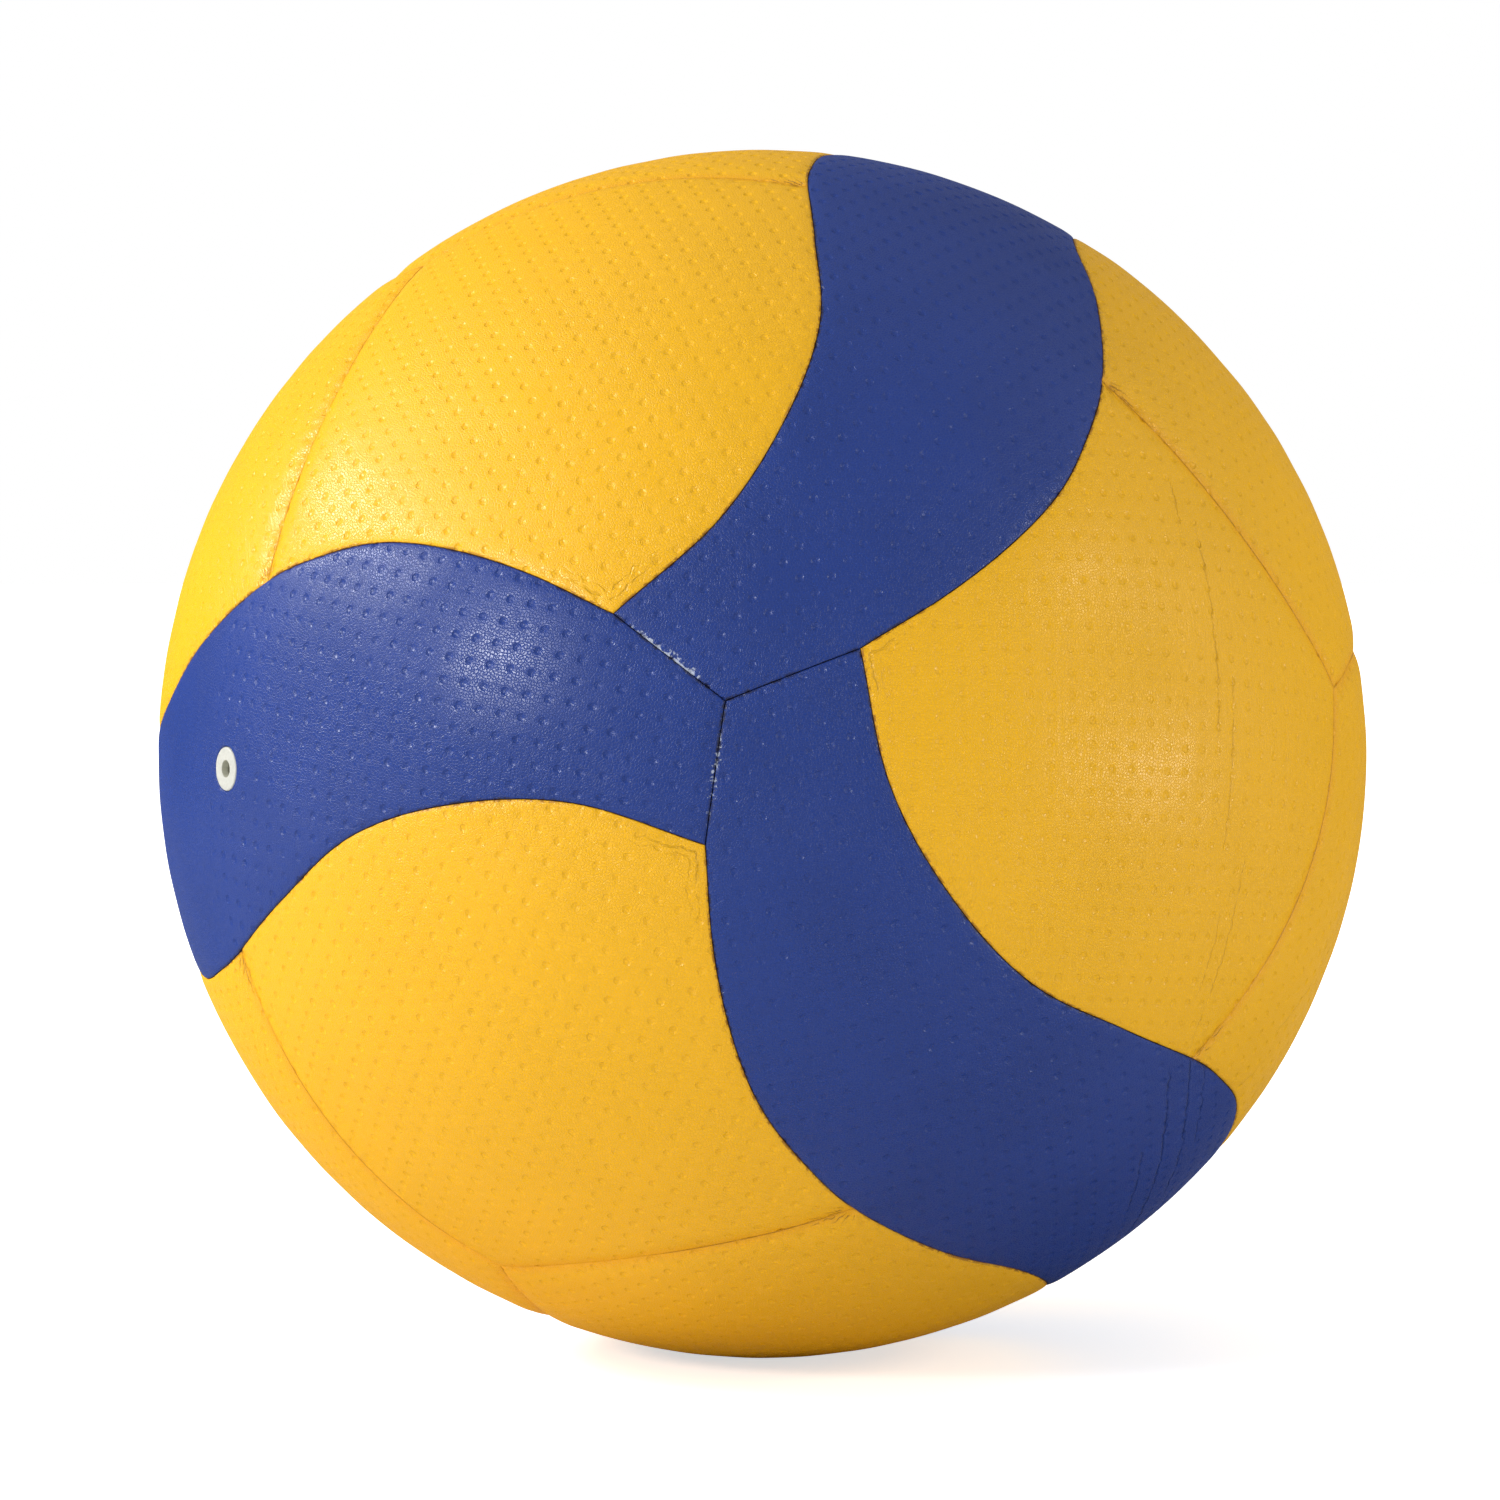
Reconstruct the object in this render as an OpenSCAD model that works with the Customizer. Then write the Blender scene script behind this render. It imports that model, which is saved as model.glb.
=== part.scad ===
// Volleyball with eighteen interlocking cover panels in two colours.
//
// The pattern is that of a tetrahedron: the twelve turns that carry a tetrahedron
// onto itself carry the pattern onto itself. Six blue bands curve in an S between
// the four points where three blues meet. Twelve yellow panels fill the rest, three
// round each of the four points between. One long seam and one short seam, copied by
// those turns, draw the outline of every panel.
//
// The origin is the centre of the ball, +Z is up and the valve faces -X. Outlines are
// worked out in the pattern's own axes, where +X is the middle of the valve's band,
// and the panels are then rolled to the way that the ball lies.

/* [Ball] */
// Diameter of the inflated ball
ball_d = 210; // [200:1:220]
// Depth of the flat that the ball rests on
rest_flat_depth = 0.5; // [0.3:0.05:0.8]

/* [Cover] */
// Thickness of a cover panel
cover_thickness = 1.4; // [1:0.1:2]
// Thickness that a panel keeps at its edge, down in the seam
cover_edge = 0.4; // [0.2:0.05:0.6]
// Width of the strip along a panel's edge that rolls down into the seam
edge_roll = 2.8; // [1.5:0.1:4]
// Gap in a seam between the edges of two panels
seam_gap = 0.3; // [0.2:0.05:0.6]
// Thickness of the foam pad under each panel
foam_thickness = 2; // [1:0.1:3]
// Distance from a panel's edge to the edge of its foam pad
foam_margin = 0.8; // [0.3:0.1:2]

/* [Carcass] */
// Thickness of the rubber layer that the pads are glued on
carcass_thickness = 0.5; // [0.3:0.1:1]
// Thickness of the thread wound over the bladder
winding_thickness = 0.6; // [0.3:0.1:1.2]
// Thickness of the bladder's wall
bladder_thickness = 0.6; // [0.4:0.1:1.2]
// Film of glue or chalk between two layers
layer_gap = 0.1; // [0.08:0.01:0.2]

/* [Valve] */
// Diameter of the needle channel in the plug
needle_channel_d = 2; // [1.6:0.1:2.2]
// Length of the needle channel's straight part
needle_channel_length = 11; // [8:0.5:13]
// Diameter of the channel's funnel at the face of the plug
needle_mouth_d = 2.9; // [2.4:0.1:3.4]
// Depth of the funnel
needle_mouth_depth = 0.9; // [0.5:0.1:1.2]
// Diameter of the plug's head
plug_head_d = 7.3; // [6.5:0.1:9]
// Thickness of the plug's head
plug_head_t = 1.5; // [1.2:0.1:2]
// Diameter of the plug's neck
plug_neck_d = 4.2; // [3.8:0.1:4.6]
// Length of the plug's neck, from the head to the bulb's straight part
plug_neck_length = 2.5; // [2:0.5:4]
// Diameter of the bulb that holds the plug in the housing
plug_bulb_d = 5.6; // [5:0.1:6.4]
// Length of the bulb's straight part
plug_bulb_length = 5; // [3:0.5:7]
// Diameter of the plug's tip
plug_tip_d = 3.4; // [2.8:0.1:4]
// Length of the plug from face to tip
plug_length = 17; // [15:0.5:20]
// How far the plug's face lies under the surface of the ball
plug_recess = 0.2; // [0.1:0.05:0.5]
// Wall of the housing round the seat of the plug's head
rim_wall = 0.8; // [0.6:0.1:1.5]
// Floor of the housing under the plug's tip
housing_floor = 1.2; // [0.8:0.1:2]
// Diameter of the air hole in the floor
air_hole_d = 1.6; // [1.3:0.1:2]
// Diameter of the flange that is bonded inside the bladder
flange_d = 30; // [20:1:40]
// Thickness of the flange
flange_t = 0.8; // [0.5:0.1:1.5]
// Clearance round the plug and round the housing's neck
valve_clearance = 0.1; // [0.06:0.01:0.15]

/* [Hidden] */
blue_count = 6;
yellow_count = 12;
$fn = 144;

blue = [0.16, 0.24, 0.58];
yellow = [0.97, 0.74, 0.12];
foam_grey = [0.86, 0.86, 0.84];
rubber_black = [0.12, 0.12, 0.13];
thread_white = [0.9, 0.89, 0.84];
bladder_black = [0.2, 0.2, 0.21];
ivory = [0.9, 0.87, 0.78];

// Radii of the layers, from the outside in.
ball_r = ball_d / 2;
cover_inner_r = ball_r - cover_thickness;
foam_r = cover_inner_r - layer_gap;
foam_inner_r = foam_r - foam_thickness;
carcass_r = foam_inner_r - layer_gap;
carcass_inner_r = carcass_r - carcass_thickness;
winding_r = carcass_inner_r - layer_gap;
winding_inner_r = winding_r - winding_thickness;
bladder_r = winding_inner_r - layer_gap;
bladder_inner_r = bladder_r - bladder_thickness;
flange_r = bladder_inner_r - layer_gap;
flange_inner_r = flange_r - flange_t;

// The ball lies rolled by this angle about the valve's axis.
roll_angle = 36.3;

// Stations of the seams, as pairs of angles seen from the ball's centre. The first
// angle runs ahead along the middle of the valve's band, the second one aside.
// The long seam starts at the blue corner's branch and swells as far as the fork.
swell_angle = [
    [-45.5, 8.5], [-37.5, 13.1], [-29.5, 16.3], [-21.5, 18], [-13.5, 17.8], [-5.5, 16.5]
];
// After the fork it narrows to a waist.
waist_angle = [[6, 12.5], [17.5, 7.9], [29, 6.4], [40.5, 7.5]];
// The short seam leaves the fork for the corner where three yellows meet.
short_seam_angle = [[-6, 23], [-6.4, 31], [-6, 39], [-4.1, 47]];
// Points that the curves get between two stations.
corner_steps = 3;
long_steps = 3;
short_steps = 2;
// Steps of the quarter ellipse that rolls a panel's edge down.
roll_steps = 3;
// How far the last step runs on, so that it crosses the ball's surface.
roll_overrun_share = 0.15;
// Reach of the cones that cut panels from a shell, as a share of the ball.
reach_share = 1.3;
cut_overrun = 2;

// Directions from the ball's centre.
function unit(v) = v / norm(v);
middle = [1, 0, 0];
ahead = unit([0, -1, -1]);
aside = unit([0, -1, 1]);
function on_ball(a) = cos(a[1]) * (cos(a[0]) * middle + sin(a[0]) * ahead) + sin(a[1]) * aside;
function angles_of(p) = [atan2(p * ahead, p * middle), asin(p * aside)];

// One turn of the pattern carries the valve's band to the band that ends at its side,
// and the turn back carries a seam's start to the place where that seam ends.
function turned(p) = [-p[1], -p[2], p[0]];
function turned_back(p) = [p[2], -p[0], -p[1]];
// The half turn about the middle of the valve's band.
function half_turned(p) = [p[0], -p[1], -p[2]];

// A smooth curve through stations, with its slope at each one taken from its neighbours.
function blend(a, b, c, d, t) =
    b + t * ((c - a) / 2 + t * ((2 * a - 5 * b + 4 * c - d) / 2 + t * (3 * b - a - 3 * c + d) / 2));
function smooth(stations, steps) =
    let (n = last(stations))
    let (before = 2 * stations[0] - stations[1])
    let (after = 2 * stations[n] - stations[n - 1])
    let (s = concat([before], stations, [after]))
    concat(
        [for (i = [0 : n - 1], j = [0 : steps - 1])
            blend(s[i], s[i + 1], s[i + 2], s[i + 3], j / steps)],
        [stations[n]]
    );
function last(list) = len(list) - 1;
function reversed(list) = [for (i = [last(list) : -1 : 0]) list[i]];
function part(list, from, to) = [for (i = [from : to]) list[i]];

// The corners of the pattern.
blue_corner = unit([1, 1, 1]);
yellow_corner = unit([1, -1, 1]);
branch = on_ball(swell_angle[0]);
seam_end = turned_back(branch);
fork = swell_angle[last(swell_angle)];

// The seams as lists of directions. The one between two blues is straight.
corner_seam = [for (i = [0 : corner_steps]) unit(blue_corner + (branch - blue_corner) * i / corner_steps)];
function seam(stations, steps) = [for (a = smooth(stations, steps)) on_ball(a)];
long_seam = seam(concat(swell_angle, waist_angle, [angles_of(seam_end)]), long_steps);
short_seam = seam(concat([fork], short_seam_angle, [angles_of(yellow_corner)]), short_steps);
fork_point = last(swell_angle) * long_steps;

// An outline is two chains of as many points from one end of the panel to the other.
// Seen from outside, the left one runs clockwise and the right one anticlockwise.
blue_right = concat(
    corner_seam,
    part(long_seam, 1, last(long_seam)),
    [for (i = [corner_steps - 1 : -1 : 0]) turned_back(corner_seam[i])]
);
blue_left = reversed([for (p = blue_right) half_turned(p)]);
yellow_left = concat(part(long_seam, 0, fork_point), part(short_seam, 1, last(short_seam)));
yellow_right = concat(
    [for (i = [last(long_seam) : -1 : fork_point]) turned(long_seam[i])],
    [for (i = [1 : last(short_seam)]) turned(short_seam[i])]
);

// The closed outline, anticlockwise from outside.
function outline(right, left) = concat(right, part(reversed(left), 1, last(left) - 1));

// The outline moved inwards along the ball by a distance, with mitred corners.
function inset(points, distance) =
    let (n = len(points))
    let (sides = [for (i = [0 : n - 1]) unit(cross(points[i], points[(i + 1) % n]))])
    [for (i = [0 : n - 1])
        let (before = sides[(i + n - 1) % n])
        unit(points[i] + distance / ball_r * (before + sides[i]) / (1 + before * sides[i]))];

// A cone from the ball's centre through rings, each one a distance inwards from the
// outline and a radius. The rings are joined side by side, and the last one is closed
// by a ladder of rungs between the outline's two chains.
module cone(right, left, rings) {
    points = outline(right, left);
    n = len(points);
    rungs = last(right);
    top = 1 + last(rings) * n;
    polyhedron(
        points = concat(
            [[0, 0, 0]],
            [for (ring = rings) each ring[1] * inset(points, ring[0])]
        ),
        faces = concat(
            [for (i = [0 : n - 1]) [0, 1 + (i + 1) % n, 1 + i]],
            [for (k = [1 : 1 : last(rings)], i = [0 : n - 1])
                let (low = 1 + (k - 1) * n, high = 1 + k * n, next = (i + 1) % n)
                each [[low + i, low + next, high + next], [low + i, high + next, high + i]]],
            [for (i = [0 : rungs - 1])
                let (across = (n - i) % n, beyond = n - i - 1)
                each concat(
                    i == 0 ? [] : [[top + across, top + i, top + i + 1]],
                    i == rungs - 1 ? [] : [[top + across, top + i + 1, top + beyond]]
                )]
        )
    );
}

// Places a panel of the valve's band, or the yellow panel beside it, as one of the twelve.
module turn_panel(i) {
    flips = [[0, 0, 0], [180, 0, 0], [0, 180, 0], [0, 0, 180]];
    rotate([-roll_angle, 0, 180])
        rotate(a = 120 * (i % 3), v = [1, 1, 1])
            rotate(flips[floor(i / 3)])
                children();
}

module turn_blue(i) {
    turn_panel(i < 3 ? i : i + 6)
        children();
}

module shell(outer_r, inner_r) {
    difference() {
        sphere(outer_r);
        sphere(inner_r);
    }
}

// Points the +Z axis out through the valve.
module at_valve() {
    rotate([0, -90, 0])
        children();
}

plug_face = ball_r - plug_recess;
head_hole_r = plug_head_d / 2 + valve_clearance;
neck_r = head_hole_r + rim_wall;
neck_hole_r = neck_r + valve_clearance;
plug_tip = plug_face - plug_length;
housing_end = plug_tip - valve_clearance - housing_floor;

// The cover closes round the plug's head. The layers under it have a wider hole, which
// the housing's neck fills.
module valve_hole(r) {
    at_valve()
        cylinder(r = r, h = ball_r + cut_overrun);
}

module rest_cut() {
    translate([-ball_r, -ball_r, rest_flat_depth - ball_r - ball_d])
        cube(ball_d);
}

cover_rings = concat(
    [for (i = [0 : roll_steps - 1])
        let (a = 90 * i / roll_steps)
        [seam_gap / 2 + edge_roll * (1 - cos(a)), ball_r - (cover_thickness - cover_edge) * (1 - sin(a))]],
    let (a = 90 * (roll_steps - 1) / roll_steps)
    let (width = edge_roll * (1 + cos(a) * roll_overrun_share))
    let (rise = (cover_thickness - cover_edge) * (1 - sin(a)) * roll_overrun_share)
    [
        [seam_gap / 2 + width, ball_r + rise],
        [seam_gap / 2 + width, ball_r * reach_share]
    ]
);

module panel(right, left) {
    intersection() {
        shell(ball_r, cover_inner_r);
        cone(right, left, cover_rings);
    }
}

module foam(right, left) {
    intersection() {
        shell(foam_r, foam_inner_r);
        cone(right, left, [[seam_gap / 2 + foam_margin, ball_r * reach_share]]);
    }
}

module blue_panel(i) {
    color(blue)
        difference() {
            turn_blue(i)
                panel(blue_right, blue_left);
            rest_cut();
            if (i == 0) valve_hole(head_hole_r);
        }
}

module yellow_panel(i) {
    color(yellow)
        difference() {
            turn_panel(i)
                panel(yellow_right, yellow_left);
            rest_cut();
        }
}

module blue_panel_foam(i) {
    color(foam_grey)
        difference() {
            turn_blue(i)
                foam(blue_right, blue_left);
            if (i == 0) valve_hole(neck_hole_r);
        }
}

module yellow_panel_foam(i) {
    color(foam_grey)
        turn_panel(i)
            foam(yellow_right, yellow_left);
}

module carcass_rubber() {
    color(rubber_black)
        difference() {
            shell(carcass_r, carcass_inner_r);
            valve_hole(neck_hole_r);
        }
}

module thread_winding() {
    color(thread_white)
        difference() {
            shell(winding_r, winding_inner_r);
            valve_hole(neck_hole_r);
        }
}

module bladder() {
    color(bladder_black)
        difference() {
            shell(bladder_r, bladder_inner_r);
            valve_hole(neck_hole_r);
        }
}

// Half section of the plug up to a height, grown by a clearance for the pocket.
module plug_section(top, grow) {
    head_r = plug_head_d / 2 + grow;
    stem_r = plug_neck_d / 2 + grow;
    bulb_r = plug_bulb_d / 2 + grow;
    tip_r = plug_tip_d / 2 + grow;
    head_bottom = plug_face - plug_head_t - grow;
    bulb_top = head_bottom - plug_neck_length;
    bulb_bottom = bulb_top - plug_bulb_length;
    polygon([
        [0, plug_tip - grow],
        [tip_r, plug_tip - grow],
        [bulb_r, bulb_bottom],
        [bulb_r, bulb_top],
        [stem_r, bulb_top + bulb_r - stem_r],
        [stem_r, head_bottom],
        [head_r, head_bottom],
        [head_r, top],
        [0, top]
    ]);
}

// Rubber sleeve with the pocket for the plug. Its neck ends under the cover and its
// flange is bonded inside the bladder.
module valve_housing() {
    color(rubber_black)
        difference() {
            union() {
                at_valve()
                    translate([0, 0, housing_end])
                        cylinder(r = neck_r, h = foam_r - housing_end);
                intersection() {
                    shell(flange_r, flange_inner_r);
                    at_valve()
                        cylinder(d = flange_d, h = ball_r);
                }
            }
            at_valve() {
                rotate_extrude()
                    plug_section(ball_r + cut_overrun, valve_clearance);
                cylinder(d = air_hole_d, h = plug_tip);
            }
        }
}

// Soft plug with a funnel for the needle. The channel is blind: its end is a slit that
// closes by itself.
module valve_plug() {
    mouth_bottom = plug_face - needle_mouth_depth;
    color(ivory)
        at_valve()
            difference() {
                rotate_extrude()
                    plug_section(plug_face, 0);
                translate([0, 0, mouth_bottom - needle_channel_length])
                    cylinder(d = needle_channel_d, h = needle_channel_length + cut_overrun);
                translate([0, 0, mouth_bottom])
                    cylinder(d1 = needle_channel_d, d2 = needle_mouth_d, h = needle_mouth_depth);
            }
}

for (i = [1 : blue_count]) {
    blue_panel(i - 1);
    blue_panel_foam(i - 1);
}
for (i = [1 : yellow_count]) {
    yellow_panel(i - 1);
    yellow_panel_foam(i - 1);
}
carcass_rubber();
thread_winding();
bladder();
valve_housing();
valve_plug();
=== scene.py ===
from functools import cached_property, partialmethod

import bmesh
import bpy
import numpy as np
from mathutils import Matrix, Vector
from numpy.linalg import norm


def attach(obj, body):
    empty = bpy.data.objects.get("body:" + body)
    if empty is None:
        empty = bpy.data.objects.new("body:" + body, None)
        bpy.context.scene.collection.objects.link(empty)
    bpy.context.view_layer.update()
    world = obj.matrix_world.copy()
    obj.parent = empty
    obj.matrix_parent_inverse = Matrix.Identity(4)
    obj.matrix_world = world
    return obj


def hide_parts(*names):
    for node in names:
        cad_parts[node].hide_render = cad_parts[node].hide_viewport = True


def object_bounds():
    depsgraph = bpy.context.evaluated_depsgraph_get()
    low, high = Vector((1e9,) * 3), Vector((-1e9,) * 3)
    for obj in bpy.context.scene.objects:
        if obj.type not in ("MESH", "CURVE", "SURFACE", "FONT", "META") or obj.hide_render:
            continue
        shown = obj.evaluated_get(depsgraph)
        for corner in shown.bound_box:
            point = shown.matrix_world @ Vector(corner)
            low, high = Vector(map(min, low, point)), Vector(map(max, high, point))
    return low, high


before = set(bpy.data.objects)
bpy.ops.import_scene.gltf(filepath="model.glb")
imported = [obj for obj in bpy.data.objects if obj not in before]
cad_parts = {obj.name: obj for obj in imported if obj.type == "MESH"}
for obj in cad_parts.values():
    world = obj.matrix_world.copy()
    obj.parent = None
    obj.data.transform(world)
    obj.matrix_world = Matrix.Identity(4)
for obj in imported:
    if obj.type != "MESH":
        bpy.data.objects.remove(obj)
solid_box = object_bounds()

bl_info = {
    "name": "Volleyball",
    "version": (1, 0, 0),
    "blender": (4, 5, 0),
    "location": "3D View > Sidebar > Volleyball",
    "description": "Leather panels, valve, inner layers and studio of a volleyball with interlocking bands",
    "category": "Add Mesh",
}

MM = 0.001
BLUE_NODES = [f"blue_panel_{i}" for i in range(1, 7)]
YELLOW_NODES = [f"yellow_panel_{i}" for i in range(1, 13)]

# Stations of the seams, in degrees ahead along the middle of the valve's band and aside from it. The long
# seam swells up to the fork and narrows to a waist; the short one goes from the fork to three yellows' corner.
SWELL = [[-45.5, 8.5], [-37.5, 13.1], [-29.5, 16.3], [-21.5, 18], [-13.5, 17.8], [-5.5, 16.5]]
WAIST = [[6, 12.5], [17.5, 7.9], [29, 6.4], [40.5, 7.5]]
SHORT = [[-6, 23], [-6.4, 31], [-6, 39], [-4.1, 47]]

# Steps of a seam's curve between two stations.
SEAM_STEPS = 30

MIDDLE = np.array([1.0, 0.0, 0.0])
AHEAD = np.array([0.0, -1.0, -1.0]) / np.sqrt(2)
ASIDE = np.array([0.0, -1.0, 1.0]) / np.sqrt(2)
TURN = np.array([[0.0, -1.0, 0.0], [0.0, 0.0, -1.0], [1.0, 0.0, 0.0]])
HALF_TURN = np.diag([1.0, -1.0, -1.0])
THIRD_TURN = np.array([[0.0, 0.0, 1.0], [1.0, 0.0, 0.0], [0.0, 1.0, 0.0]])
FLIPS = [np.diag(d) for d in ([1.0, 1.0, 1.0], [1.0, -1.0, -1.0], [-1.0, 1.0, -1.0], [-1.0, -1.0, 1.0])]
# Turn of the ball about the valve's axis, as it lies in the photo.
ROLL = np.radians(-36.3)
LIE = np.diag([-1.0, -1.0, 1.0]) @ np.array(
    [[1, 0, 0], [0, np.cos(ROLL), -np.sin(ROLL)], [0, np.sin(ROLL), np.cos(ROLL)]]
)
BLUE_CORNER = np.array([1.0, 1.0, 1.0]) / np.sqrt(3)
YELLOW_CORNER = np.array([1.0, -1.0, 1.0]) / np.sqrt(3)

# Length and width of the panels' grids, and distances of their first lines from the edge, in millimetres.
BLUE_GRID, YELLOW_GRID = (208, 60), (92, 84)
RIM = [0, 0.04, 0.09, 0.16, 0.26, 0.4, 0.6, 0.87, 1.22, 1.62]
# Lines of a panel's skin for each line of its back.
BACK_STEP = 8
# Distance that stands for no seam, and place on a map for no crease, in millimetres.
NO_SEAM, NO_CREASE = 99.0, 500.0

# Turn of the dimples' rows and of the bands' creases on the flat map, in degrees.
BLUE_ROWS, YELLOW_ROWS, BLUE_CREASE_WAY = -16.5, 0.7, -22.6
# Side of the table of dimple depths, and reach of a dimple's soft rim in dimple radii.
DENT_TABLE, DIMPLE_REACH = 97, 1.25
# Where the dimples lie on a panel, as the place of one dimple along and across the rows.
BLUE_DIMPLES = [(0.25, 0.845), (0.93, 0.41), (0.77, 0.68), (0.4, 0.1), (0.6, 0.5), (0.15, 0.3)]
YELLOW_DIMPLES = [
    (0.01, 0.42), (0.04, 0.45), (0.35, 0.21), (0.7, 0.8), (0.5, 0.1), (0.2, 0.6),
    (0.9, 0.3), (0.45, 0.55), (0.1, 0.95), (0.65, 0.25), (0.3, 0.75), (0.8, 0.05),
]
# Creases in the leather: place across, start and end along, and depth, in millimetres.
YELLOW_CREASES = [
    (5.1, -11.0, 27.5, 0.10), (1.4, 25.0, 37.0, 0.12), (9.1, -28.0, 4.0, 0.08),
    (11.2, -53.0, -35.0, 0.08), (14.8, -60.0, -25.0, 0.09),
]
BLUE_CREASES = [
    (25.4, -6.0, 54.0, 0.26), (30.4, -8.0, 38.0, 0.24), (20.7, 10.0, 33.0, 0.18), (34.0, -4.0, 24.0, 0.16),
]
# Creases that leave a fork: angle from the seam, start and end, in radians and millimetres.
FORK_CREASES = [(0.1, 1.0, 9.0), (0.3, 0.6, 6.0), (0.62, 1.0, 4.5), (1.1, 0.5, 3.5)]
# Turn in degrees and shift in millimetres of each panel's creases. None is a panel without.
YELLOW_CREASED = {3: (0, 0, 0), 5: (160, 4, 10), 8: (40, -12, 6), 10: (-75, 8, -14)}
BLUE_CREASED = {2: (0, 0, 0), 4: (180, 10, 4), 6: (25, -30, -20)}
# Share of glue specks along the four seams of a band with another band, and that of the other bands.
BLUE_SPECKS = {1: (0.15, 0.5, 0.1, 0.3), 2: (0.55, 0.1, 0.3, 0.2), 3: (0.1, 1.0, 0.2, 0.1)}
OTHER_SPECKS = (0.2, 0.3, 0.1, 0.35)
# First seeds of the draws by lot.
BLUE_SEED, YELLOW_SEED = 40, 70
# Sheet for baking: margin, width, and the heights of the back, the walls and the skin.
SHEET_MARGIN, SHEET_WIDTH = 0.005, 0.99
BACK_HEIGHT, WALL_LOW, WALL_HIGH, SKIN_LOW, SKIN_HEIGHT = 0.11, 0.122, 0.134, 0.142, 0.85

# Skin, in millimetres: drop of the roll, the slope and the sag at a band's seam, at a valley and at the
# valve's hole, and the sag's reach.
BAND_ROLL, BAND_FALL, BAND_SAG, BAND_SAG_REACH = 0.24, 0.26, 0.06, 6
VALLEY_ROLL, VALLEY_SAG, VALLEY_SAG_REACH = 0.05, 0.15, 9
HOLE_ROLL, HOLE_SAG, HOLE_SAG_REACH = (0.9, 0.35), 0.05, 3
# Slight waves of the skin: height, length, and distance from the edge where they are in full.
SKIN_WAVES = ((0.05, 26, 6), (0.03, 9, 2))
# Gathered folds: share, distance apart and length of the drift of each kind, and their height.
FOLDS, FOLD_HEIGHT = ((1.0, 3.7, 8), (0.6, 2.1, 6)), 0.11
# Steps along a seam from a fork to the place that sets its heading.
HEADING = 25
# Range of the dimples' depths by lot, and the share of a depth that the mesh takes.
DENT_RANGE, DIMPLE_SHARE = (0.75, 1.2), 0.9
# Softness of the rest flat's rim, in millimetres.
FLAT_SOFTNESS = 0.1
# Fields that a mesh hands to its leather, and those of their values behind the skin that aren't 0.
FIELDS = ("seam", "valley", "fold", "tip", "scuff", "dent")
BEHIND = {"seam": -1.0, "valley": NO_SEAM, "tip": NO_SEAM}
# The twelve turns give a band twice, so these make the six bands.
BLUE_COPIES = (0, 1, 2, 9, 10, 11)

# Valve, in millimetres: radii of the plug and the vent, depths under the plug's face, and the housing's
# floor, its gap to the cover, and its flange's reach and depths under the ball's surface.
NECK, BULB, TIP, CORE, VENT = 2.1, 2.8, 1.7, 0.02, 0.8
FUNNEL_END, HEAD_END, NECK_END, BULB_START, BULB_END, CHANNEL_END, TIP_END = 0.9, 1.5, 3.3, 4.0, 9.0, 11.9, 17.0
VALVE_FLOOR, SLEEVE_GAP, FLANGE_REACH, FLANGE_DEPTHS = 1.3, 0.1, 15.0, (5.6, 6.4)
# Angle in degrees from which an edge of the valve's pieces is sharp.
SHARP_ANGLE = 40

# Colours: painted shade for the edges at the seams and for creases and cracks, painted shade and bounce light in a
# valley between yellows, glue, the darker grey inside the plug's bore, and the valve's rubbers with their dust.
BLUE_EDGE_SHADE, YELLOW_EDGE_SHADE, YELLOW_VALLEY_SHADE = (0.010, 0.008, 0.016), (0.26, 0.085, 0.004), (0.80, 0.33, 0.004)
GLUE, BORE_GREY = (0.46, 0.51, 0.62), (0.30, 0.30, 0.23)
IVORY, IVORY_DUST = (0.52, 0.52, 0.47), (0.46, 0.46, 0.41)
BLACK, BLACK_DUST = (0.022, 0.020, 0.020), (0.04, 0.038, 0.036)

# Lamps: size in metres, and turn to the right of the camera's side and rise, in degrees.
LAMPS = {
    "key": ((0.3, 0.18), -49, 16), "back": ((0.9, 0.2), -93, 30),
    "side": ((0.26, 0.26), 69, 24), "low": ((0.5, 0.16), 72, -1),
}
LAMP_DISTANCE = 1.3
# Shift of the camera to the right and up, and the round floor, in metres.
CAMERA_SHIFT = (-0.00213, 0.00066)
FLOOR_REACH, FLOOR_SIDES = 9, 64


def unit(v):
    return v / norm(v, axis=-1, keepdims=True)


def direction(angles):
    """Direction from the ball's centre: the middle turned ahead by the first angle and aside by the second."""
    u, v = np.radians(np.asarray(angles, float)).T[:, :, None]
    return np.cos(v) * (np.cos(u) * MIDDLE + np.sin(u) * AHEAD) + np.sin(v) * ASIDE


def angles_of(p):
    return np.degrees([np.arctan2(p @ AHEAD, p @ MIDDLE), np.arcsin(p @ ASIDE)])


def smooth(stations, steps):
    """Cubic through the stations, whose slope at each one is half the way between its neighbours."""
    s = np.asarray(stations, float)
    s = np.vstack([2 * s[:1] - s[1:2], s, 2 * s[-1:] - s[-2:-1]])
    a, b, c, d = (s[k : len(s) - 3 + k, None] for k in range(4))
    t = np.arange(steps)[None, :, None] / steps
    run = b + t * ((c - a) / 2 + t * ((2 * a - 5 * b + 4 * c - d) / 2 + t * (3 * b - a - 3 * c + d) / 2))
    return np.vstack([run.reshape(-1, 2), s[-2:-1]])


def seams(steps=SEAM_STEPS):
    """The pattern's three seams as runs of directions: between two blues, beside a band, between two yellows."""
    branch = direction(SWELL[:1])[0]
    straight = np.linspace(0, 1, 2 * steps + 1)[:, None]
    corner = unit(BLUE_CORNER + (branch - BLUE_CORNER) * straight)
    long_seam = direction(smooth([*SWELL, *WAIST, angles_of(TURN.T @ branch)], steps))
    short_seam = direction(smooth([SWELL[-1], *SHORT, angles_of(YELLOW_CORNER)], steps))
    return corner, long_seam, short_seam


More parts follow.
